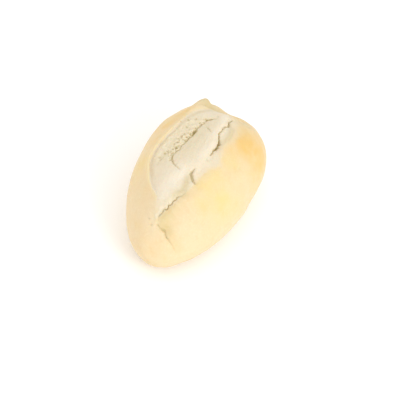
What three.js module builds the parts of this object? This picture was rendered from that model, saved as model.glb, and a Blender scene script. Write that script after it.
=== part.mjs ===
// A mini baguette: a short, plump wheat roll, baked as one piece, with one slash healed along its top.
// Millimetres. +X runs along the loaf to its blunt end, +Y is the side of the slash's ear, and +Z is up.
// The origin is at the middle of the loaf's footprint, on the surface that it rests on.
import * as THREE from "three";
import { mergeVertices } from "three/addons/utils/BufferGeometryUtils.js";

// Driving dimensions of the whole loaf.
const LENGTH = 130;
const WIDTH = 73;
const HEIGHT = 51;

// The crown is the loaf's highest line. It lies a little to the ear's side of the middle and bows sideways.
const CROWN_OFFSET = 4;
const CROWN_BOW = -1.1;
// The loaf is widest at this share of its height, a little lower towards the ends.
const SHOULDER = 0.42;
const SHOULDER_DROP = 0.15;
// How full the outline stays towards each end: 2 is an ellipse, and more is blunter.
const PLAN_FULLNESS = { narrowEnd: 1.83, bluntEnd: 2.87 };
const SIDE_FULLNESS = { narrowEnd: 2.6, bluntEnd: 3.05 };
// How much wider the blunt half is than the narrow half.
const TAPER = 0.1;
// The loaf sagged onto the oven's floor: 1 would only touch it, and more gives a wider flat patch.
const SAG = 1.22;

// The slash. Each line is a stroke over the top, as [x, y] points from the blunt end to the narrow end.
// A positive height is a raised lip and a negative one is a furrow; reach is its half-width.
const EAR = {
  points: [[42, 10], [29, 18], [7, 24], [-9, 26], [-22, 23], [-36, 17], [-43, 11]],
  height: 1.7,
  reach: 3,
};
const EAR_FURROW = {
  points: [[40, 6], [27, 14], [6, 19.5], [-9, 21.5], [-22, 18.5], [-35, 13], [-42, 8]],
  height: -1.8,
  reach: 3,
};
const CRUMB_LOBE = {
  points: [[32, -3], [14, -1], [0, 0], [-16, 4], [-30, 6], [-42, 5]],
  height: 1.5,
  reach: 8,
};
const SEAM = {
  points: [[30, 1], [24, 5], [13, 8], [0, 11], [-10, 13], [-18, 8]],
  height: -1.4,
  reach: 2.6,
};
const TEAR = {
  points: [[38, -9], [29, -9], [20, -7], [11, -9], [1, -8], [-15, -3], [-25, -6], [-34, -4], [-45, 1], [-54, 4]],
  height: -2.4,
  reach: 2.8,
};
const STROKES = [EAR, EAR_FURROW, CRUMB_LOBE, SEAM, TEAR];
// Nothing of the slash reaches below this share of the height.
const SLASH_FLOOR = 0.6;

// The facets: steps around the loaf, crowded towards its top, and steps along it.
const STEPS_AROUND = 84;
const STEPS_ALONG = 52;
const TOP_CROWDING = 0.4;
const STROKE_STEPS = 48;
const MERGE_WITHIN = 1e-3;

// How much of its full size a section keeps at a place along the loaf, from -1 at the narrow end to 1.
function fullness(along, ends, power) {
  const exponent = along < 0 ? ends.narrowEnd : ends.bluntEnd;
  return (1 - Math.min(1, Math.abs(along)) ** exponent) ** power;
}

// A point of the plain loaf, before the slash. turn is 0 at the +Y side and a quarter turn at the top.
function doughPoint(along, turn) {
  const across = Math.cos(turn);
  const up = Math.sin(turn);
  const wide = fullness(along, PLAN_FULLNESS, 0.5) * (1 + TAPER * along);
  const tall = fullness(along, SIDE_FULLNESS, 0.48);
  const crownLine = CROWN_OFFSET + CROWN_BOW * (along ** 2 - 0.3);
  const halfWidth = across > 0 ? WIDTH / 2 - CROWN_OFFSET : WIDTH / 2 + CROWN_OFFSET;
  const y = crownLine + halfWidth * wide * Math.sign(across) * Math.abs(across) ** 0.92;
  const shoulder = SHOULDER * HEIGHT * (1 - SHOULDER_DROP * (1 - tall));
  const crown = shoulder + (HEIGHT - shoulder) * tall * Math.abs(up) ** 0.95;
  const belly = shoulder * Math.max(0, 1 - SAG * tall * Math.abs(up));
  return new THREE.Vector3((LENGTH / 2) * along, y, up >= 0 ? crown : belly);
}

// The rise of the slash's lips, furrows and lobe over a point of the plan.
function slashRelief(x, y) {
  const here = new THREE.Vector2(x, y);
  let rise = 0;
  for (const stroke of STROKES) {
    const nearest = Math.min(...stroke.route.map((point) => point.distanceTo(here)));
    rise += stroke.height * Math.exp(-((nearest / stroke.reach) ** 2));
  }
  return rise;
}

function makeLoaf() {
  for (const stroke of STROKES) {
    const corners = stroke.points.map(([x, y]) => new THREE.Vector2(x, y));
    stroke.route = new THREE.SplineCurve(corners).getPoints(STROKE_STEPS);
  }
  const geometry = new THREE.SphereGeometry(1, STEPS_AROUND, STEPS_ALONG);
  geometry.deleteAttribute("normal");
  geometry.deleteAttribute("uv");
  geometry.rotateZ(-Math.PI / 2);
  const position = geometry.getAttribute("position");
  const direction = new THREE.Vector3();
  for (let i = 0; i < position.count; i++) {
    direction.fromBufferAttribute(position, i);
    const turn = Math.atan2(direction.z, direction.y);
    const point = doughPoint(direction.x, turn + TOP_CROWDING * Math.cos(turn));
    if (point.z > SLASH_FLOOR * HEIGHT) point.z += slashRelief(point.x, point.y);
    position.setXYZ(i, point.x, point.y, point.z);
  }
  const closed = mergeVertices(geometry, MERGE_WITHIN);
  closed.computeBoundingBox();
  const middle = closed.boundingBox.getCenter(new THREE.Vector3());
  const size = closed.boundingBox.getSize(new THREE.Vector3());
  closed.translate(-middle.x, -middle.y, -closed.boundingBox.min.z);
  closed.scale(LENGTH / size.x, WIDTH / size.y, HEIGHT / size.z);
  closed.computeVertexNormals();
  return closed;
}

const crust = new THREE.MeshStandardMaterial({ color: 0xf4e0b4, roughness: 0.72, metalness: 0 });

const loaf = new THREE.Mesh(makeLoaf(), crust);
loaf.name = "loaf";

const miniBaguette = new THREE.Group();
miniBaguette.add(loaf);

export default miniBaguette;
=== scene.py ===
# %% [markdown]
# # A mini baguette
# A mini baguette is a short, plump wheat roll. It is baked as one piece, and nothing is joined to it. What
# makes it look like bread, and not like a pebble, is how its skin tells the story of the oven. The sides
# are a smooth, dull crust. The top was slashed once, and the dough tore open there and healed almost level.
# The underside went flat where it lay on the oven's floor.
#
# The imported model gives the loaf's size and place. This lesson gives it its skin, in metres.

# %% Load the frame
import math
import bmesh
import bpy
import numpy as np
from mathutils import Matrix, Vector, noise


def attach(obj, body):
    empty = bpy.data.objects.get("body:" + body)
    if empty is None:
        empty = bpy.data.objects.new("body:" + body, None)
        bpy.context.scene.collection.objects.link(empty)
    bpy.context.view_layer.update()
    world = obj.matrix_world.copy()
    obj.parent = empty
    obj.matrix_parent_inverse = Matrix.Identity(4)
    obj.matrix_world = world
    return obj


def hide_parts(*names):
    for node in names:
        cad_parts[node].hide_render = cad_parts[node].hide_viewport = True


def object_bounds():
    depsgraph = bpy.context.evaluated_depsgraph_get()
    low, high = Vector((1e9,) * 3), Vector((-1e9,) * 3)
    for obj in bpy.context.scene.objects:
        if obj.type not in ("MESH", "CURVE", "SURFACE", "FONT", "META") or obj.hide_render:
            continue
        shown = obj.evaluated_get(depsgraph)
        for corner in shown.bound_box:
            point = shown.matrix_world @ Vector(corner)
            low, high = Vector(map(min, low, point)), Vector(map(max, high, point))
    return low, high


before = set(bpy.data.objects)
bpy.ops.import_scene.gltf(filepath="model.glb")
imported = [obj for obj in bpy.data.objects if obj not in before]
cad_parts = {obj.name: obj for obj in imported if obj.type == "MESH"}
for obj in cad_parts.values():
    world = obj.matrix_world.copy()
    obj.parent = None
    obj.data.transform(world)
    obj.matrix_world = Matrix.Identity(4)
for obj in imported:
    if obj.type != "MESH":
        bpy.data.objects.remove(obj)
cad_low, cad_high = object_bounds()
length, width, height = cad_high - cad_low
MM = 0.001
print("CAD box:", [round(side / MM, 1) for side in (length, width, height)], "mm")

# %% [markdown]
# ## Small helpers
# Three jobs come back all the time. Operators act on whatever is selected, so `work_on` clears the
# selection and makes one piece active. In edit mode, `pick` selects vertices by a test on their place.
# `finish_with` adds a modifier, sets it and applies it, as the Apply button does.

# %% Selecting and applying
def work_on(piece):
    bpy.ops.object.select_all(action="DESELECT")
    piece.select_set(True)
    bpy.context.view_layer.objects.active = piece


def pick(test):
    cage = bmesh.from_edit_mesh(bpy.context.object.data)
    for vertex in cage.verts:
        vertex.select = test(vertex.co)
    cage.select_flush_mode()


def finish_with(piece, kind, **settings):
    work_on(piece)
    modifier = piece.modifiers.new(kind.title(), kind)
    for name, value in settings.items():
        setattr(modifier, name, value)
    bpy.ops.object.modifier_apply(modifier=modifier.name)
    print(kind.lower(), "leaves", len(piece.data.polygons), "faces")


# %% [markdown]
# ## The camera
# The camera looks down on the loaf from beyond its narrow end, a little to the side away from the ear, and
# it is rolled a few degrees. A long lens from a metre away keeps the far end from shrinking. The aim is a
# little beside and below the loaf's middle, so the loaf sits a little high and left in the frame.

# %% Place the camera
AZIMUTH, ELEVATION, ROLL = math.radians(-76.9), math.radians(44.1), math.radians(10.0)
CAMERA_DISTANCE = 1.0
LENS = 150.8
AIM_RIGHT, AIM_DOWN = 7.7 * MM, 11.5 * MM

loaf_middle = Vector((0, 3.8 * MM, 22 * MM))
back = Vector((
    math.sin(AZIMUTH) * math.cos(ELEVATION),
    -math.cos(AZIMUTH) * math.cos(ELEVATION),
    math.sin(ELEVATION),
))
level_right = Vector((0, 0, 1)).cross(back).normalized()
level_up = back.cross(level_right)
right = math.cos(ROLL) * level_right + math.sin(ROLL) * level_up
up = -math.sin(ROLL) * level_right + math.cos(ROLL) * level_up

camera_place = loaf_middle + back * CAMERA_DISTANCE
aim = loaf_middle + right * AIM_RIGHT - up * AIM_DOWN
towards_camera = (camera_place - aim).normalized()
camera_right = up.cross(towards_camera).normalized()
camera_up = towards_camera.cross(camera_right)
turn = Matrix((camera_right, camera_up, towards_camera)).transposed()

bpy.ops.object.camera_add(location=camera_place, rotation=turn.to_euler())
camera = bpy.context.object
camera.data.lens = LENS
camera.data.clip_start = 0.01
bpy.context.scene.camera = camera
print("camera at", [round(c, 3) for c in camera_place])

# %% [markdown]
# ## Colours and nodes
# Colours are given as sRGB hex codes, as a paint program shows them, but shaders work in linear light, so
# `colour` converts them. A procedural material is a tree of nodes, and `add_node` adds one with its settings
# and links.

# %% Colour, and one function that adds a shader node
def colour(hex_code):
    """An sRGB hex colour as the linear RGBA that shaders work in."""
    channels = [int(hex_code[i:i + 2], 16) / 255 for i in (1, 3, 5)]
    linear = [c / 12.92 if c <= 0.04045 else ((c + 0.055) / 1.055) ** 2.4 for c in channels]
    return (*linear, 1.0)


def add_node(tree, kind, links=None, **settings):
    """Adds a node. A setting is a property or an input's value, and links maps inputs to output sockets."""
    node = tree.nodes.new(kind)
    for name, value in settings.items():
        if hasattr(node, name):
            setattr(node, name, value)
        else:
            node.inputs[name.replace("_", " ")].default_value = value
    for name, socket in (links or {}).items():
        tree.links.new(socket, node.inputs[name])
    return node


# %% [markdown]
# ## The floor and the light
# Soft, bright light shows the form of a dull crust without hard shadows. The floor is a sheet of white
# acrylic that is lit a little from behind, as on a product table, so the loaf's shadow stays pale. A softbox
# stands beyond the narrow end, on the side away from the ear. A bigger card on the ear's side gives back
# weak, warm light, as other bread lying there would, and a bright, even room fills the rest. Large lights
# are used because a small one would draw a black line into every crack.

# %% Lay the floor
FLOOR_SIDE = 6.0

floor_acrylic = bpy.data.materials.new("Backlit white acrylic")
floor_acrylic.use_nodes = True
floor_shader = floor_acrylic.node_tree.nodes["Principled BSDF"]
floor_shader.inputs["Base Color"].default_value = colour("#F7F7F6")
floor_shader.inputs["Roughness"].default_value = 0.9
floor_shader.inputs["Specular IOR Level"].default_value = 0.1
floor_shader.inputs["Emission Color"].default_value = colour("#FFFFFF")
floor_shader.inputs["Emission Strength"].default_value = 0.10

bpy.ops.mesh.primitive_plane_add(size=FLOOR_SIDE)
floor = bpy.context.object
floor.name = "floor"
floor.data.materials.append(floor_acrylic)
print("the floor is", FLOOR_SIDE, "m wide")

# %% Light the room and hang the softboxes
room = bpy.data.worlds.new("Bright room")
room.use_nodes = True
room.node_tree.nodes["Background"].inputs["Color"].default_value = colour("#FFFFFF")
room.node_tree.nodes["Background"].inputs["Strength"].default_value = 1.0
bpy.context.scene.world = room
bpy.context.scene.view_settings.view_transform = "Standard"


def hang_softbox(name, place, side, power, tint):
    bpy.ops.object.light_add(type="AREA", location=place)
    lamp = bpy.context.object
    lamp.name = name
    lamp.rotation_euler = Vector(place).to_track_quat("Z", "Y").to_euler()
    lamp.data.size = side
    lamp.data.energy = power
    lamp.data.color = colour(tint)[:3]


hang_softbox("key_softbox", (-0.45, -0.62, 0.50), 0.4, 2.5, "#FFFFFF")
hang_softbox("bounce_card", (-0.15, 0.8, 0.35), 0.6, 0.6, "#FFDFBC")

# %% [markdown]
# ## The shaped dough
# A baker rolls a piece of dough into a short log whose ends are rounded by the hand. Here the log starts as
# a UV sphere with its poles at the two ends. Its rings are then sections across the loaf, and each one is
# scaled in edit mode: apart on its left and right half, because the crown lies to one side, and apart above
# and below its widest line. Working ring by ring keeps control of the outline, which a single scaling of
# the sphere could not do: the narrow end is close to an ellipse, and the blunt end is squarer.

# %% Scale the rings of a sphere
RINGS = 40
AROUND = 56
CROWN_SIDE = 3.8 * MM
CROWN_BOW = -1.1 * MM
SHOULDER = 0.42
SHOULDER_DROP = 0.15
SAG = 1.22
TAPER = 0.1
PLAN_FULLNESS = (1.83, 2.87)  # of the narrow end and of the blunt end: 2 is an ellipse, and more is squarer
SIDE_FULLNESS = (2.6, 3.05)
RELIEF_ALLOWANCE = 2.0 * MM
SAME_PLACE = 1e-4


def fullness(along, narrow_end, blunt_end, power):
    """The share of its full size that a section keeps, at a place from -1, the narrow end, to 1."""
    exponent = narrow_end if along < 0 else blunt_end
    return max(0.0, 1 - abs(along) ** exponent) ** power


def scale_picked(test, factors):
    pick(test)
    bpy.ops.transform.resize(value=factors, center_override=(0, 0, 0))


bpy.ops.object.select_all(action="DESELECT")
bpy.ops.mesh.primitive_uv_sphere_add(
    segments=AROUND, ring_count=RINGS, radius=1, rotation=(0, math.pi / 2, 0)
)
loaf = bpy.context.object
loaf.name = "baked_loaf"
bpy.ops.object.transform_apply(rotation=True)
bpy.ops.object.mode_set(mode="EDIT")
bpy.ops.mesh.select_mode(type="VERT")
crown_height = height - RELIEF_ALLOWANCE
for ring in range(RINGS + 1):
    along = math.cos(math.pi * ring / RINGS)
    radius = math.sin(math.pi * ring / RINGS)
    wide = fullness(along, *PLAN_FULLNESS, 0.5) * (1 + TAPER * along)
    tall = fullness(along, *SIDE_FULLNESS, 0.48)
    shoulder = SHOULDER * crown_height * (1 - SHOULDER_DROP + SHOULDER_DROP * tall)
    if radius > SAME_PLACE:
        ear_half = (width / 2 - CROWN_SIDE) * wide / radius
        far_half = (width / 2 + CROWN_SIDE) * wide / radius
        over = (crown_height - shoulder) * tall / radius
        under = SAG * shoulder * tall / radius
        scale_picked(lambda v: abs(v.x - along) < SAME_PLACE and v.y > 0, (1, ear_half, 1))
        scale_picked(lambda v: abs(v.x - along) < SAME_PLACE and v.y < 0, (1, far_half, 1))
        scale_picked(lambda v: abs(v.x - along) < SAME_PLACE and v.z > 0, (1, 1, over))
        scale_picked(lambda v: abs(v.x - along) < SAME_PLACE and v.z < 0, (1, 1, under))
    pick(lambda v: abs(v.x - along) < SAME_PLACE)
    bpy.ops.transform.translate(value=(0, CROWN_SIDE + CROWN_BOW * along ** 2, shoulder))
scale_picked(lambda v: v.z < 0, (1, 1, 0))
scale_picked(lambda v: True, (length / 2, 1, 1))
bpy.ops.object.mode_set(mode="OBJECT")
print("the dough has", len(loaf.data.polygons), "faces,", [round(s / MM, 1) for s in loaf.dimensions], "mm")

# %% [markdown]
# ## An even skin
# The rings crowd at the poles, and a crack can't be cut across crowded or stretched faces. A voxel remesh
# gives the loaf an even skin of small squares. The slash needs finer clay than the smooth sides do, so the
# faces inside the slash's outline are subdivided, and those beside a crack once more. For that, the slash is
# drawn first, as lines over the plan. A smooth line is a curve through its points, and a crack that ran in
# jerks keeps straight pieces between them.

# %% Draw the slash
# All points are in millimetres over the plan, from the narrow end to the blunt end.
EAR = [
    (-52, 7.5), (-47.5, 8.6), (-43.5, 10.2), (-39.2, 13.2), (-35.2, 16.4), (-29.7, 19.7), (-22, 22.7),
    (-16.6, 24.5), (-9.5, 25.6), (-1.5, 25.3), (7, 23.7), (17.7, 20.9), (29, 18.3), (34.8, 15.1), (41.2, 9),
    (44.5, 4.5),
]
SEAM = [
    (-20.7, 5), (-16.5, 9.9), (-10.6, 13), (-6.4, 12.7), (-3.3, 11.1), (1.2, 10.8), (6.3, 9.5), (9.9, 8.4),
    (15.6, 8.3), (19.4, 7.5), (23.4, 6.1), (28.2, 4.3), (30.3, 1.2), (32, -0.6),
]
TEAR = [
    (0, -7.6), (5.8, -8.3), (9, -9), (13, -8.8), (19.2, -6.4), (22.6, -6.7), (27, -7), (31.3, -8.7),
    (35.5, -7.6), (39.4, -8.3),
]
SMALL_TEAR = [(-24.6, -6.6), (-22.9, -5.1), (-19.9, -2.6), (-15, -3.6)]
BULGE_EDGE = [
    (-56, 3.5), (-54, 4.1), (-52, 4.5), (-50.6, 3.4), (-48.6, 3), (-47.2, 1.7), (-45.2, 1.5), (-43.8, 0.2),
    (-41.6, 0.2), (-40.2, -1.1), (-38, -1.1), (-35.8, -2.9), (-32, -4.2), (-29.4, -4.1), (-26.5, -4.6),
]
TAIL = [(-59.7, -9.6), (-59.3, -6.8), (-58.7, -4), (-57.2, -2.2), (-56.3, -1.3), (-56.6, 1), (-55.8, 3.3)]
ARC_CREASE = [(17, -1.5), (19.5, 0.7), (21.6, 3.4)]
FLAP_CREASE = [(13.5, -10.4), (19.4, -12.6), (25.6, -12.6), (30.6, -11.4)]
STRIP_CREASE = [(-5.5, 15.8), (-9, 17.6), (-13, 18.6), (-19, 19)]
EAR_GROOVE = [(40.5, 14.2), (43.2, 10.8), (45.3, 6.5), (46.5, 3)]
LOBE_RIDGE = [(-10, -2.2), (-3.5, -2.8), (2, -4), (9.2, -4.6), (17.5, -3.8), (25.7, -4.3), (35.5, -3.2)]
SLASH_OUTLINE = EAR + [
    (44, -3), (41.5, -9), (32, -13), (24, -14), (19, -13.2), (13.5, -12), (9, -11.8), (3, -12.8),
    (-2.5, -14.6), (-7, -13.4), (-12, -10), (-19.5, -8.1), (-25.5, -7.2), (-31.5, -5.6), (-38.5, -2.6),
    (-45, -0.4), (-51.5, 3), (-55, 5),
]


def smooth_line(points, step=0.4):
    """A Catmull-Rom curve through the points, sampled about every step millimetres."""
    points = np.array(points, float)
    ends = 2 * points[[0, -1]] - points[[1, -2]]
    points = np.vstack([ends[:1], points, ends[1:]])
    samples = []
    for a, b, c, d in zip(points, points[1:], points[2:], points[3:]):
        t = np.linspace(0, 1, max(2, int(np.linalg.norm(c - b) / step)), endpoint=False)[:, None]
        samples.append(0.5 * (2 * b + (c - a) * t + (2 * a - 5 * b + 4 * c - d) * t ** 2
                              + (3 * b - a - 3 * c + d) * t ** 3))
    return np.vstack([*samples, points[-2:-1]])


def straight_line(points, step=0.4):
    """Straight pieces between the points, sampled in the same way, for a crack that runs in jerks."""
    points = np.array(points, float)
    samples = []
    for a, b in zip(points, points[1:]):
        t = np.linspace(0, 1, max(2, int(np.linalg.norm(b - a) / step)), endpoint=False)[:, None]
        samples.append(a + (b - a) * t)
    return np.vstack([*samples, points[-1:]])


ear, seam, tear = smooth_line(EAR), smooth_line(SEAM), straight_line(TEAR)
small_tear, bulge_edge, tail = smooth_line(SMALL_TEAR), smooth_line(BULGE_EDGE), straight_line(TAIL)
arc_crease, flap_crease = smooth_line(ARC_CREASE), smooth_line(FLAP_CREASE)
strip_crease = smooth_line(STRIP_CREASE)
ear_groove, lobe_ridge = smooth_line(EAR_GROOVE), smooth_line(LOBE_RIDGE)
slash_outline = smooth_line(SLASH_OUTLINE, step=1)
print("the slash is", round(float(np.ptp(slash_outline[:, 0]))), "mm long")


# %% Measure from a line, and split faces
def distance_to(line, plan):
    """The distance of each place in the plan to the nearest sample of a line."""
    nearest = np.full(len(plan), np.inf)
    for point in line:
        nearest = np.minimum(nearest, np.hypot(plan[:, 0] - point[0], plan[:, 1] - point[1]))
    return nearest


def depth_inside(outline, plan):
    """How far each place lies inside a closed outline, or outside it when negative."""
    x, y = plan[:, 0], plan[:, 1]
    inside = np.zeros(len(plan), bool)
    for (x0, y0), (x1, y1) in zip(outline, np.roll(outline, -1, axis=0)):
        crosses = (y0 > y) != (y1 > y)
        inside ^= crosses & (x < (x1 - x0) * (y - y0) / (y1 - y0 + 1e-12) + x0)
    return np.where(inside, 1, -1) * distance_to(outline, plan)


def face_middles(piece):
    middles = np.zeros(3 * len(piece.data.polygons))
    piece.data.polygons.foreach_get("center", middles)
    return middles.reshape(-1, 3) / MM


def subdivide_faces(piece, chosen):
    """Splits the chosen faces in four."""
    work_on(piece)
    bpy.ops.object.mode_set(mode="EDIT")
    bpy.ops.mesh.select_mode(type="FACE")
    bpy.ops.mesh.select_all(action="DESELECT")
    bpy.ops.object.mode_set(mode="OBJECT")
    piece.data.polygons.foreach_set("select", chosen)
    bpy.ops.object.mode_set(mode="EDIT")
    bpy.ops.mesh.subdivide(number_cuts=1, smoothness=0)
    bpy.ops.object.mode_set(mode="OBJECT")
    print(int(chosen.sum()), "faces split, so there are", len(piece.data.polygons))


# %% Remesh, then refine the slash
SKIN_VOXEL = 0.95 * MM
SLASH_MARGIN = 4
SLASH_FLOOR = 0.45
CRACKS = (  # line, and how far from it the skin is refined
    (ear, 2.4), (seam, 2.6), (tear, 2.2), (small_tear, 2.2), (bulge_edge, 2.4), (tail, 1.8),
    (arc_crease, 1.4),
)


def on_top(places):
    """Whether each place is high enough for the slash: the same plan also holds the loaf's lower half."""
    return places[:, 2] > SLASH_FLOOR * crown_height / MM


finish_with(loaf, "SUBSURF", levels=2, render_levels=2)
finish_with(loaf, "REMESH", mode="VOXEL", voxel_size=SKIN_VOXEL)
finish_with(loaf, "SMOOTH", factor=0.5, iterations=6)

middles = face_middles(loaf)
subdivide_faces(loaf, on_top(middles) & (depth_inside(slash_outline, middles) > -SLASH_MARGIN))
middles = face_middles(loaf)
by_a_crack = np.zeros(len(middles), bool)
for line, reach in CRACKS:
    by_a_crack |= distance_to(line, middles) < reach
subdivide_faces(loaf, on_top(middles) & by_a_crack)

# %% [markdown]
# ## Tools for shaping the skin
# No operator tears dough, so the slash is shaped as it would be with sculpting brushes. A brush needs to
# know, for every point of the skin, how far it is from the stroke and on which side. `drop` lays a line
# that was drawn over the plan down onto the loaf, and `measure` gives those distances. They are positive
# towards the ear. All brush sizes are in millimetres. `hump`, `notch` and `ramp` are the brushes' profiles,
# and `grain` is the unevenness that no baker could avoid.

# %% Read, move and measure the skin
def read_skin():
    """The places of the skin's points, in millimetres, and the directions in which they face."""
    places = np.zeros(3 * len(loaf.data.vertices))
    facing = np.zeros(3 * len(loaf.data.vertices))
    loaf.data.vertices.foreach_get("co", places)
    loaf.data.vertex_normals.foreach_get("vector", facing)
    return places.reshape(-1, 3) / MM, facing.reshape(-1, 3)


def write_skin(places):
    loaf.data.vertices.foreach_set("co", (places * MM).ravel())
    loaf.data.update()


def drop(line):
    """The points of a line over the plan, laid on the loaf from above."""
    laid = []
    for x, y in line:
        hit, place, _, _ = loaf.ray_cast(Vector((x * MM, y * MM, 1)), Vector((0, 0, -1)))
        if hit:
            laid.append(place / MM)
    return np.array(laid)


ONE_SIDE_LIMIT = 3  # a point this much farther off than its sideways distance isn't beside the line


def measure(line, places, facing):
    """Each point's signed distance from a laid line, its share along it, how far past its ends it lies,
    and the direction to the ear's side."""
    nearest = np.full(len(places), np.inf)
    index = np.zeros(len(places), int)
    for i, sample in enumerate(line):
        distance = np.sqrt(((places - sample) ** 2).sum(axis=1))
        closer = distance < nearest
        nearest[closer] = distance[closer]
        index[closer] = i
    ahead = np.gradient(line, axis=0)
    ahead /= np.linalg.norm(ahead, axis=1)[:, None]
    sideways = np.cross(facing, ahead[index])
    across = ((places - line[index]) * sideways).sum(axis=1)
    beyond = (index == 0) | (index == len(line) - 1)
    past = np.where(beyond, np.sqrt(np.maximum(nearest ** 2 - across ** 2, 0)), 0)
    across[~beyond & (nearest > np.abs(across) + ONE_SIDE_LIMIT)] = np.inf
    return across, index / (len(line) - 1), past, sideways


def away_from(spot, places):
    """The straight distance of each place from one spot."""
    return np.sqrt(((places - spot) ** 2).sum(axis=1))


print("the skin has", len(loaf.data.vertices), "points")


# %% The brushes' profiles, and unevenness
def hump(distance, reach):
    """1 on the stroke, falling off smoothly to nothing at about twice the reach."""
    return np.exp(-((distance / reach) ** 2))


def notch(distance, reach):
    """1 on the stroke, with a sharp bottom, for a crack."""
    return np.exp(-np.abs(distance) / reach)


def ramp(value, start, end):
    """0 before start, 1 after end, and smooth in between."""
    share = np.clip((value - start) / (end - start), 0, 1)
    return share * share * (3 - 2 * share)


def spread(along, values):
    """Values spread evenly along a stroke, read at each point's share of it."""
    return np.interp(along, np.linspace(0, 1, len(values)), values)


def grain(places, size, seed=0.0):
    """A smooth, repeatable unevenness from about -1 to 1, with lumps size millimetres across."""
    return np.array([noise.noise(Vector(place)) for place in places / size + seed])


NOISE_TO_FULL = 1.6  # the noise seldom goes past 0.6


def ragged(line, sway, size, seed):
    """A line that wanders by up to about sway, as a tear does."""
    places = np.column_stack([line, np.zeros(len(line))])
    shift = np.column_stack([grain(places, size, seed), grain(places, size, seed + 50)])
    return line + sway * NOISE_TO_FULL * shift


print("a hump keeps", [round(float(hump(distance, 1)), 2) for distance in (0, 1, 2)], "at 0, 1 and 2 reaches")

# %% [markdown]
# ## The broad swellings
# As the loaf sprang in the oven, soft dough rose through the slash. It stands in two lobes: a broad one at
# the narrow end that leans over the crust, and a long smooth one at the blunt end. Between the long lobe
# and the ear, a strip of dough tore instead of rising, and lies a little lower. The crust beside the slash
# was pushed up into a soft lip, highest where the ear ends over the blunt end. These are wide, low brush
# strokes, laid before the fine ones. Last, the narrow tip is filled out and the blunt end pressed in.

# %% Raise the lobes and sink the strip
SWELLINGS = {  # points, rise (one, or several along the stroke), reach towards the ear and reach away from it
    "near lobe": ([(-46, 6.5), (-38, 7), (-29, 7), (-21, 6)], 1.7, 8.0, 8.0),
    "long lobe": (LOBE_RIDGE, 2.0, 7.5, 3.6),
    "torn strip": ([(-14, 19), (-2, 18), (12, 15.5), (26, 11.5)], -0.8, 4.5, 4.5),
    "flap": ([(6, -12), (16, -12), (26, -11.5)], 0.7, 1.8, 3.0),
    "crust lip": (
        [(-50, -3), (-40, -7.5), (-30, -11), (-18, -12), (-6, -15), (8, -15.5), (22, -17)], 0.5, 3.5, 3.5,
    ),
    "far lip": ([(33, 17.5), (37, 16), (42, 13.5), (48, 11.5)], [0.8, 2.4, 4.0, 4.2], 4.6, 3.2),
    "far flank": ([(30, 30), (40, 26)], -1.4, 8.0, 8.0),
    "far dip": ([(50, 1), (54, -4), (52, -10)], -3.2, 8.5, 8.5),
    "waist": ([(-26, -30), (-8, -34), (8, -36)], -1.5, 13.0, 13.0),
    "ear's back": ([(-34, 20), (-20, 26), (-4, 29), (12, 26)], 0.6, 5.0, 5.0),
    "under the bulge": ([(-56, -2), (-50, -4), (-43, -6)], -1.0, 3.0, 4.5),
}

for name, (points, rise, to_ear, away) in SWELLINGS.items():
    places, facing = read_skin()
    across, along, past, sideways = measure(drop(smooth_line(points)), places, facing)
    reach = np.where(across > 0, to_ear, away)
    swelling = spread(along, np.atleast_1d(rise)) * hump(across, reach) * hump(past, max(to_ear, away))
    write_skin(places + facing * swelling[:, None])
    print(name, rise, "mm")

# %% Correct the ends
CORRECTIONS = {  # place, rise and reach
    "narrow tip": ((-60, -4, 9), 1.3, 11.0),
    "blunt end": ((60, -1, 31), -1.6, 7.0),
}

for name, (spot, rise, reach) in CORRECTIONS.items():
    places, facing = read_skin()
    places += facing * (rise * hump(away_from(spot, places), reach))[:, None]
    places[:, 2] = np.maximum(places[:, 2], 0)
    write_skin(places)
    print(name, rise, "mm")

# %% [markdown]
# ## The ear
# The slash was cut at a slant, so one edge of it lifted into a thin lip, the ear. It stands a little over a
# millimetre proud, leans over the cut, and drops steeply on its inner side. The stroke therefore isn't the
# same on its two sides, and it also pushes the skin sideways. Towards the blunt end the ear dies away, and
# only a low rim is left on the swelling there.

# %% Lift the ear
places, facing = read_skin()
ear_across, ear_along, ear_past, sideways = measure(drop(ear), places, facing)
at_ends = hump(ear_past, 2)
ear_strength = np.interp(ear_along, [0, 0.05, 0.15, 0.27, 0.7, 0.8, 1], [0, 0, 0.55, 1, 1, 0.1, 0]) * at_ends
lip = hump(ear_across, np.where(ear_across > 0, 2.2, 0.6))
drop_inside = hump(ear_across + 1.5, np.where(ear_across > -1.5, 0.6, 1.7))
rise = ear_strength * (1.35 * lip - 0.65 * drop_inside)
far_rim = np.interp(ear_along, [0.68, 0.8, 0.94, 1], [0, 1, 1, 0]) * at_ends
rise += far_rim * (0.25 * hump(ear_across, 1.4) - 0.15 * hump(ear_across + 2.6, 1.4))
lean = -0.6 * ear_strength * hump(ear_across, 0.9)
write_skin(places + facing * rise[:, None] + sideways * lean[:, None])
print("the ear is", round(float(rise.max()), 2), "mm proud")

# %% [markdown]
# ## The tears
# On the other side the crumb tore away from the crust. The tear is ragged and in places more than two
# millimetres deep. It closes at the middle of the loaf and opens again as a short split. A seam runs beside
# the torn strip, and a few shallow creases and a groove round the ear's end are cut in the same way, only
# softer. Beyond the slash's narrow tip a crack runs on down the end of the loaf, and one side of it stands
# higher than the other.

# %% A function that cuts a crack
CRACK_SIDE = 8
SHOULDER_REACH = 2.4


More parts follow.
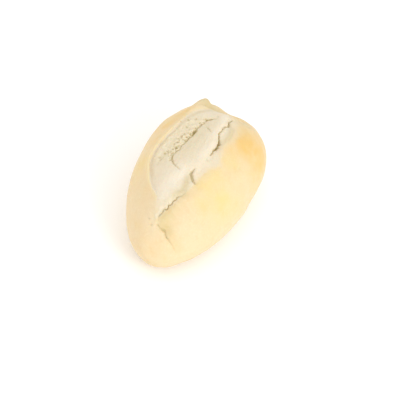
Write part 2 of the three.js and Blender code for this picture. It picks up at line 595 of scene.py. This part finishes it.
def open_crack(line, depth, gape, reach, seed, shoulders=0.4, sway=0.35):
    """Cuts a ragged crack. depth and gape are lists spread evenly along it. Gives back the distance across,
    the depth at each point, the share along it and the distance past its ends."""
    places, facing = read_skin()
    laid = drop(ragged(line, sway, 2.0, seed))
    across, along, past, _ = measure(laid, places, facing)
    here = np.abs(across) < CRACK_SIDE
    deep = spread(along, depth) * (1 + 0.35 * grain(places, 2.5, seed)) * hump(past, 2 * reach)
    wall = np.maximum(np.abs(across) - spread(along, gape) / 2, 0)
    sunk = shoulders * np.minimum(deep, 1) * hump(across, SHOULDER_REACH)
    rise = np.where(here, -deep * notch(wall, reach) - sunk, 0)
    write_skin(places + facing * rise[:, None])
    return across, np.where(here, deep * notch(wall, reach), 0), along, past


# %% Open the tears and the seam
_, tear_depth, _, _ = open_crack(
    tear, depth=[1.2, 1.7, 2.0, 2.3, 1.8, 1.4, 1.3, 1.4, 1.6, 0.9],
    gape=[0.1, 0.2, 0.4, 0.6, 0.4, 0.1, 0.1, 0.2, 0.4, 0], reach=0.3, seed=1, sway=0.25,
)
_, small_depth, _, _ = open_crack(
    small_tear, depth=[0.8, 1.5, 1.7, 1.3, 0.5], gape=[0.2, 0.8, 1.0, 0.5, 0], reach=0.45, seed=2, sway=0.3,
)
seam_across, seam_depth, _, _ = open_crack(
    seam, depth=[0.6, 1.0, 1.1, 1.0, 1.0, 0.9, 1.0, 1.1, 1.9, 1.2, 1.0, 0.8, 0.4],
    gape=[0, 0.1, 0.3, 0.2, 0.3, 0.2, 0.3, 0.3, 0.8, 0.2, 0.1, 0.1, 0], reach=0.42, seed=3,
)
print("deepest tear", round(float(tear_depth.max()), 2), "mm, seam", round(float(seam_depth.max()), 2), "mm")

# %% Crease the skin
_, arc_depth, _, _ = open_crack(
    arc_crease, depth=[0.3, 0.9, 0.9, 0.4], gape=[0.1], reach=0.42, seed=6, shoulders=0.2,
)
_, flap_depth, _, _ = open_crack(flap_crease, depth=[0.1, 0.35, 0.4, 0.2], gape=[0], reach=0.6, seed=7)
_, strip_depth, _, _ = open_crack(strip_crease, depth=[0.3, 0.6, 0.5, 0.2], gape=[0], reach=0.5, seed=9)
_, groove_depth, _, _ = open_crack(
    ear_groove, depth=[0.3, 0.6, 0.6, 0.3], gape=[0], reach=0.8, seed=8, sway=0.2,
)
creases_depth = arc_depth + flap_depth + groove_depth + strip_depth
print("deepest crease", round(float(creases_depth.max()), 2), "mm")

# %% Crack the narrow end
tail_across, tail_depth, tail_along, tail_past = open_crack(
    tail, depth=[0.5, 0.9, 1.0, 1.0, 1.3, 0.9, 0.8], gape=[0, 0, 0, 0.2, 0.5, 0.1, 0], reach=0.33, seed=4,
    sway=0.3,
)
places, facing = read_skin()
rise = 0.5 * hump(tail_across - 1.8, 2.2) - 0.4 * hump(tail_across + 2.2, 2.4)
rise *= spread(tail_along, [0, 1, 1, 1, 0.4]) * hump(tail_past, 2)
write_skin(places + facing * np.where(np.abs(tail_across) < CRACK_SIDE, rise, 0)[:, None])
print("the crack's higher side rises", round(float(rise.max()), 2), "mm")

# %% [markdown]
# ## The bulge over the crust
# Along its lower side the near lobe bulges over the crust and ends in a jagged, dark line. The stroke raises
# the skin beside the line, sinks it beyond, cuts a sharp notch on the line itself and leans the edge
# over it. The lean follows a smoother line than the notch does, or the skin would fold over itself at each
# jag.

# %% Bulge the near lobe
places, facing = read_skin()
laid_bulge = drop(ragged(bulge_edge, 0.42, 2.2, 5))
bulge_across, bulge_along, bulge_past, _ = measure(laid_bulge, places, facing)
_, _, _, sideways = measure(drop(smooth_line(BULGE_EDGE[::3])), places, facing)
bulge_strength = spread(bulge_along, [0, 0.8, 1, 1, 0.9, 0.5, 0]) * hump(bulge_past, 1.5)
bulge_line = bulge_strength * spread(bulge_along, [1, 1, 1, 0.9, 0.6, 0.4, 0.3])
bulge_depth = 1.6 * bulge_line * notch(bulge_across, 0.4)
swollen = 1.3 * hump(bulge_across - 2.4, np.where(bulge_across > 2.4, 5.5, 2.0))
sunk = 0.6 * hump(bulge_across + 0.8, 1.6)
rise = bulge_strength * (swollen - sunk) - 1.7 * bulge_line * notch(bulge_across, 0.4)
lean = -0.7 * bulge_strength * hump(bulge_across - 1.2, 1.3)
write_skin(places + facing * rise[:, None] + sideways * lean[:, None])
print("the bulge rises", round(float(rise.max()), 2), "mm")

# %% [markdown]
# ## The torn and the floury crumb
# The strip beside the ear is torn crumb, full of broken gas bubbles: rough at several sizes at once, with
# pits, most of them along the seam. The lobes are smooth and floury, with faint wrinkles that run along the
# loaf, because the dough stretched that way. Inside the cracks this unevenness is calmed, or their walls
# would run into each other.

# %% Find the strip and the lobes
places, facing = read_skin()
inside = depth_inside(slash_outline, places)
upper = on_top(places)
in_strip = (
    ramp(-ear_across, 1.5, 3.4) * ramp(seam_across, -0.5, 1.0) * ramp(inside, 0, 1.5)
    * ramp(places[:, 0], -20, -12) * (1 - 0.8 * ramp(places[:, 0], 26, 32)) * upper * np.isfinite(ear_across)
)
in_lobes = ramp(inside, 1, 4) * upper * (1 - in_strip)
print("torn strip:", int((in_strip > 0.5).sum()), "points, lobes:", int((in_lobes > 0.5).sum()))

# %% Roughen the strip and wrinkle the lobes
near_slash = inside > -3
crumb_places = places[near_slash]
rough = np.zeros(len(places))
rough[near_slash] = (
    0.48 * grain(crumb_places, 3.4, 7)
    + 0.42 * grain(crumb_places, 1.7, 8)
    + 0.28 * grain(crumb_places, 0.9, 9)
)
wrinkles = np.zeros(len(places))
stretched = crumb_places * (0.2, 1, 0.3)
wrinkles[near_slash] = 0.22 * grain(stretched, 1.6, 10) + 0.35 * grain(crumb_places, 6, 11)
in_cracks = ramp(tear_depth + small_depth + seam_depth + bulge_depth, 0.2, 1.0)
rise = (in_strip * rough + in_lobes * wrinkles) * (1 - 0.8 * in_cracks)
print("the crumb is uneven by", round(float(np.ptp(rise)), 2), "mm")

# %% Pit the crumb
SEAM_PITS = 46
STRIP_PITS = 30
PITS = [  # x, y, depth and radius
    (25.5, 15.5, 0.9, 0.8), (22.5, 19, 0.6, 0.6), (15, 7.5, 1.0, 1.1), (3, 14.5, 1.2, 0.9),
    (-2, 13.5, 1.2, 0.9), (6, 12, 0.9, 0.7), (-7.5, 18, 0.7, 0.8), (-5, -7, 0.5, 0.8),
    (-56.5, 7, 0.5, 0.7), (-54, 9.5, 0.4, 0.6),
]

dice = np.random.default_rng(12)
for _ in range(SEAM_PITS):
    x = dice.uniform(-14, 34)
    seam_y = np.interp(x, *np.array(SEAM).T)
    PITS.append((x, seam_y + min(dice.exponential(3.0), 7), dice.uniform(0.3, 0.9), dice.uniform(0.35, 0.75)))
for _ in range(STRIP_PITS):
    x = dice.uniform(-8, 13)
    seam_y = np.interp(x, *np.array(SEAM).T)
    PITS.append((x, seam_y + dice.uniform(0.5, 5.5), dice.uniform(0.5, 1.0), dice.uniform(0.35, 0.65)))
pit_depth = np.zeros(len(places))
for (x, y, deep, radius), floor_of_pit in zip(PITS, drop([pit[:2] for pit in PITS])):
    pit_depth += deep * hump(away_from(floor_of_pit, places), radius)
write_skin(places + facing * (rise - pit_depth)[:, None])
finish_with(loaf, "SMOOTH", factor=0.35, iterations=1)
print(len(PITS), "pits, the deepest", round(float(pit_depth.max()), 2), "mm")

# %% [markdown]
# ## The crust
# The crust is smooth but never perfect. The hand left it slightly uneven, a few gas bubbles under the skin
# collapsed into shallow dimples, and the skin itself has a fine leathery unevenness. The underside was
# pressed flat by the loaf's own weight, so it is left alone. The rim where the ear ends is so steep that the
# skin folds over itself at its corner, so a small spot there is relaxed.

# %% Uneven the crust and dimple it
DIMPLES = [  # x, y, depth and radius
    (6, -24.5, 0.5, 1.0), (-41, -19, 0.35, 1.8), (-48, -18, 0.4, 1.6), (-59, 7, 0.35, 1.5),
    (-30, -26, 0.3, 2.2), (18, -31, 0.3, 2.0), (-12, 31, 0.3, 1.6), (34, 26, 0.3, 1.8),
    (52, -12, 0.4, 1.6), (48, 16, 0.35, 1.4),
]

places, facing = read_skin()
clear_of_base = ramp(places[:, 2], 0.5, 8)
on_crust = 1 - ramp(inside, -1.5, 0.5) * upper
lumps = 0.55 * grain(places, 24, 20) + 0.28 * grain(places, 9, 21) + 0.09 * grain(places, 3.5, 22)
rise = clear_of_base * on_crust * lumps
for (x, y, deep, radius), bottom in zip(DIMPLES, drop([dimple[:2] for dimple in DIMPLES])):
    rise -= deep * hump(away_from(bottom, places), radius)
places += facing * rise[:, None]
write_skin(places)
print(len(DIMPLES), "dimples")

# %% Relax the rim's steepest corner
STEEP_CORNER = (35.7, 16, 46.3)
STEEP_RADIUS = 2.5

steep = away_from(STEEP_CORNER, places) < STEEP_RADIUS
steep_rim = loaf.vertex_groups.new(name="steep rim")
steep_rim.add([int(i) for i in np.flatnonzero(steep)], 1.0, "REPLACE")
finish_with(loaf, "SMOOTH", factor=0.5, iterations=6, vertex_group="steep rim")
loaf.vertex_groups.clear()
work_on(loaf)
bpy.ops.object.shade_smooth()
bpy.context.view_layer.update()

# %% [markdown]
# ## Where each finish, and each painted light and shade, lies
# One solid carries several finishes that melt into each other, so the borders can't be faces: they are
# painted as soft masks on the skin's points, and the material reads them by name. `crumb` is the pale dough
# that rose through the slash, and `torn` is the rough strip in it. Other masks paint light and shade into
# the colour: a painted highlight on the crests of the lobes, where the light falls; `lip`, a painted
# highlight along the ear's ridge; painted shade in the places that the crumb and the crust sink into and on
# sides turned away from the light; and painted shade in the cracks and pits. `bake` is how far the oven
# browned the crust, `straw` is a yellower tint of it, and `sole` is the underside. The border between crust
# and crumb is crisp at the ear and the bulge, and wide elsewhere.

# %% Two ways to paint
def paint(name, values):
    mask = loaf.data.attributes.new(name, "FLOAT", "POINT")
    mask.data.foreach_set("value", np.clip(values, 0, 1).astype(np.float32))
    print(name, "covers", round(100 * float(np.mean(values > 0.5))), "% of the points")


def along_stroke(line, offset, to_ear, away, strength):
    """A soft painted band beside a line. Strength is a list spread evenly along the line."""
    across, along, past, _ = measure(drop(line), places, facing)
    share = spread(along, strength) * hump(past, max(to_ear, away))
    band = hump(across - offset, np.where(across > offset, to_ear, away))
    return np.where(np.isfinite(across), share * band, 0)


places, facing = read_skin()
print("the masks have", len(places), "values each")

# %% Part the crumb from the crust
FLOURY_SPOTS = (  # place, radius and strength
    ((-54, 7, 38), 6, 0.4), ((44, 12, 46), 5, 0.5), ((52, 11, 40), 5, 0.4),
)

off_ear = ramp(np.abs(ear_across) + ear_past, 1.5, 4)
off_bulge = ramp(np.abs(bulge_across) + bulge_past, 1.5, 4)
softness = 0.7 + 2.3 * off_ear * off_bulge
softness += 4.0 * ramp(-places[:, 0], 41, 48) * ramp(np.abs(bulge_across) + bulge_past, 1.0, 3.5)
softness += 2.5 * ramp(places[:, 0], 8, 20) * ramp(-places[:, 1], 4, 10)
softness -= 1.7 * hump(places[:, 0] + 18, 14) * ramp(-places[:, 1], 3, 6) * off_bulge
border = inside - 0.5 + 1.1 * grain(places, 5, 30) + 0.5 * grain(places, 1.8, 31)
crumb = ramp(border, -softness, softness) * upper
for floury_spot, radius, share in FLOURY_SPOTS:
    crumb = np.maximum(crumb, share * hump(away_from(floury_spot, places), radius))
paint("crumb", crumb)
paint("torn", in_strip)

# %% Paint highlights on the lobes' crests and shade into the hollows
# A highlight painted onto the crests of the lobes, on the sides where the light falls.
painted_highlight = (
    along_stroke(lobe_ridge, -0.3, 2.6, 2.6, [0.5, 0.7, 0.7, 0.5, 0.5, 0.6, 0.7])
    + along_stroke(smooth_line([(-50, 6), (-40, 6), (-30, 4), (-22, 1)]), 0, 7, 4.5, [0.8, 1, 1, 1])
    + along_stroke(smooth_line([(34, 9), (38, 3), (41, -3)]), 0, 3.5, 3.5, [0.5, 0.7, 0.8])
)
# Shade painted into the colour, in hollows and on sides turned away from the light.
lobe_gap = smooth_line([(-20, -1.2), (-25, -2), (-30, -2.6), (-34, -2.5), (-39, 0.3)])
painted_shade = (
    along_stroke(seam, -4.2, 4.0, 4.0, [0, 0, 0.1, 0.3, 0.35, 0.35, 0.3, 0.2, 0.1])
    + along_stroke(ear, -2.4, 1.0, 1.2, [0, 0, 0, 0.1, 0, 0, 0.1, 0.4, 0.6, 0.2])
    + along_stroke(bulge_edge, 0.9, 1.8, 1.0, [0, 0.5, 0.4, 0.4, 0.2, 0, 0])
    + along_stroke(lobe_gap, 0, 2.4, 2.0, [0.3, 1, 1.1, 1, 0.5])
    + along_stroke(bulge_edge, -2.0, 1.5, 4.5, [0.4, 0.9, 0.8, 0.3, 0, 0, 0])
    + along_stroke(tail, -2.2, 1.5, 3.5, [0, 0.3, 0.6, 0.7, 0.3])
    + along_stroke(flap_crease, 1.0, 1.6, 2.0, [0.3, 0.8, 0.8, 0.6])
    + along_stroke(ear_groove, 0.5, 4.5, 2.5, [0.3, 0.8, 0.9, 0.6])
    + along_stroke(smooth_line([(31, -17), (38, -16), (46, -12)]), 0, 5, 5, [0.2, 0.4, 0.4])
    + along_stroke(smooth_line([(46, 13), (50, 11), (54, 9)]), 0, 3.5, 3.5, [0.3, 0.7, 0.6])
)
# A highlight painted along the ear's ridge.
ear_highlight = along_stroke(ear, 0.0, 1.1, 0.55, [0, 0.4, 1, 1, 0.8, 0.5, 0.4, 0.8, 0.4])
# Shade painted into the cracks and pits: the deeper, the darker.
cracks = tear_depth + 0.8 * small_depth + seam_depth + bulge_depth + tail_depth
cracks += 0.7 * creases_depth
painted_crack_shade = np.minimum(1, 0.42 * cracks + 0.6 * pit_depth)
paint("painted_highlight", painted_highlight * crumb * (1 - in_strip))
paint("painted_shade", painted_shade)
paint("lip", ear_highlight)
paint("crack_shade", painted_crack_shade)

# %% Brown the crust
BROWNINGS = [  # x, y, z, radius and strength
    (27, -25, 40, 12, 0.75), (28, -32, 32, 8, 0.4), (13, -35, 27, 9, 0.35), (10, -17, 45, 8, 0.3),
    (24, -18, 45, 8, 0.3), (36, -30, 30, 16, 0.2), (52, -18, 26, 15, 0.25), (59, 2, 27, 13, 0.35),
    (50, 20, 28, 14, 0.3), (-22, -29, 32, 10, 0.12), (20, 34, 28, 15, 0.2), (22, 27, 41, 7, 0.35),
    (34, 22, 42, 7, 0.55), (4, 30, 40, 8, 0.35), (-14, 30, 38, 7, 0.2), (-61, 3, 20, 12, 0.15),
]
STRAW_TINTS = [  # the same, in that order
    (-21, -24, 37, 8, 0.6), (-33, -15, 42, 8, 0.35), (-30, -25, 33, 7, 0.3), (-12, -16, 46, 8, 0.3),
    (-13, -30, 29, 8, 0.25), (2, -20, 43, 9, 0.45), (-23, -12, 46, 6, 0.5), (-13, -15, 46, 5, 0.2),
    (-14, 28, 39, 9, 0.4), (30, 26, 38, 8, 0.2),
]

bake = np.zeros(len(places))
for *spot, radius, strength in BROWNINGS:
    bake += strength * hump(away_from(spot, places), radius)
straw = np.zeros(len(places))
for *spot, radius, strength in STRAW_TINTS:
    straw += strength * hump(away_from(spot, places), radius)
patchy = 1 + 0.45 * grain(places, 9, 35) + 0.25 * grain(places, 3.5, 36)
bake = bake * patchy + 0.18 * grain(places, 14, 32) + 0.08 * grain(places, 4, 33)
paint("bake", bake * (1 - crumb))
paint("straw", straw * patchy * (1 - crumb))
paint("sole", 1 - ramp(places[:, 2] + 1.2 * grain(places, 5, 34), 1.0, 6.0))

# %% [markdown]
# ## The bread's finish
# This is a part-baked white wheat roll. The crust is dry, dull starch with a faint satin where it is
# smoothest, cream to pale gold, since the sugars have only begun to brown. Broken crumb is paler, greyer and
# quite matt, because light dies in its small holes. Bread also lets a little light through, which softens
# its shadows, so the shader has some subsurface scattering. The crust's cream wanders over 22 mm, with a
# darker mottling of 4.5 mm and pale speckles of 1.1 mm. The fine grain of both is too small to model, and
# comes from bump: a leathery grain 1.2 mm across on the crust, and deeper pores of 0.9 mm in the crumb.

# %% Start the material, with functions for its masks and mixes
bread = bpy.data.materials.new("Part-baked wheat crust and crumb")
bread.use_nodes = True
tree = bread.node_tree
shader = tree.nodes["Principled BSDF"]
place_on_loaf = add_node(tree, "ShaderNodeTexCoord").outputs["Object"]


def mask(name):
    return add_node(tree, "ShaderNodeAttribute", attribute_name=name).outputs["Fac"]


def speckle(size_mm, detail=3.0):
    """Cloudy noise whose patches are about size_mm across."""
    noise_node = add_node(
        tree, "ShaderNodeTexNoise", {"Vector": place_on_loaf}, Scale=1 / (size_mm * MM), Detail=detail
    )
    return noise_node.outputs["Fac"]


def faint(share, most):
    """The upper half of a speckle, spread from 0 to most, so that it only tints."""
    spread_out = add_node(
        tree, "ShaderNodeMapRange", {"Value": share}, From_Min=0.5, From_Max=0.75, To_Max=most
    )
    return spread_out.outputs["Result"]


def blend(share, first, second):
    """Mixes two colours, each a hex code or a socket."""
    mix = add_node(tree, "ShaderNodeMix", data_type="RGBA")
    tree.links.new(share, mix.inputs["Factor"])
    for socket, value in ((mix.inputs[6], first), (mix.inputs[7], second)):
        if isinstance(value, str):
            socket.default_value = colour(value)
        else:
            tree.links.new(value, socket)
    return mix.outputs[2]


print("the material starts with", len(tree.nodes), "nodes")

# %% Mix the colours
crumb_mask, torn_mask, painted_highlight_mask, painted_shade_mask = mask("crumb"), mask("torn"), mask("painted_highlight"), mask("painted_shade")
crack_shade_mask, bake_mask, straw_mask = mask("crack_shade"), mask("bake"), mask("straw")
ear_highlight_mask, sole_mask = mask("lip"), mask("sole")
crust_colour = blend(speckle(22), "#E1CB9F", "#E9D4B0")
crust_colour = blend(faint(speckle(4.5), 0.35), crust_colour, "#DEC390")
crust_colour = blend(faint(speckle(1.1, 2.0), 0.25), crust_colour, "#F2E4C8")
crust_colour = blend(bake_mask, crust_colour, "#E8C27A")
crust_colour = blend(straw_mask, crust_colour, "#E7D08C")
crumb_colour = blend(speckle(5), "#E0D1B4", "#E7DBC2")
crumb_colour = blend(torn_mask, crumb_colour, blend(speckle(2.2, 4.0), "#DED0AE", "#EEE2C9"))
# Painted highlight: the lobes' crests are painted paler, as if lit.
crumb_colour = blend(painted_highlight_mask, crumb_colour, "#E9DEC9")
skin_colour = blend(crumb_mask, crust_colour, crumb_colour)
# Painted shade: hollows and sides turned from the light are painted darker.
skin_colour = blend(painted_shade_mask, skin_colour, blend(crumb_mask, "#D8C391", "#D3C5A2"))
# Painted highlight along the ear's ridge.
skin_colour = blend(ear_highlight_mask, skin_colour, "#E8D7AC")
skin_colour = blend(sole_mask, skin_colour, blend(speckle(6), "#CDA66E", "#DDC092"))
# Painted shade in the cracks and pits.
skin_colour = blend(crack_shade_mask, skin_colour, "#C0AE76")
tree.links.new(skin_colour, shader.inputs["Base Color"])
print("the colours take", len(tree.nodes), "nodes")

# %% Set how it takes the light
roughness = add_node(tree, "ShaderNodeMapRange", {"Value": crumb_mask}, To_Min=0.62, To_Max=0.92)
tree.links.new(roughness.outputs["Result"], shader.inputs["Roughness"])
shader.inputs["IOR"].default_value = 1.45
shader.inputs["Specular IOR Level"].default_value = 0.25
shader.inputs["Subsurface Weight"].default_value = 0.2
shader.inputs["Subsurface Radius"].default_value = (1.0, 0.62, 0.36)
shader.inputs["Subsurface Scale"].default_value = 2.5 * MM
print("it scatters light over", round(shader.inputs["Subsurface Scale"].default_value / MM, 1), "mm")

# %% Give it a fine grain
crust_grain = add_node(tree, "ShaderNodeMath", {0: speckle(1.2, 2.0)}, operation="MULTIPLY")
crust_grain.inputs[1].default_value = 0.16
crumb_grain = add_node(tree, "ShaderNodeMath", {0: speckle(0.9, 4.0)}, operation="MULTIPLY")
crumb_grain.inputs[1].default_value = 0.45
grain_height = add_node(
    tree, "ShaderNodeMix",
    {"Factor": crumb_mask, "A": crust_grain.outputs[0], "B": crumb_grain.outputs[0]},
)
bump = add_node(tree, "ShaderNodeBump", {"Height": grain_height.outputs["Result"]}, Distance=1 * MM)
tree.links.new(bump.outputs["Normal"], shader.inputs["Normal"])

loaf.data.materials.clear()
loaf.data.materials.append(bread)
print(bread.name, "has", len(tree.nodes), "nodes")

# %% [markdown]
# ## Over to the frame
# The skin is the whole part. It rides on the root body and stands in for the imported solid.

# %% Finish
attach(loaf, "root")
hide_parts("loaf")
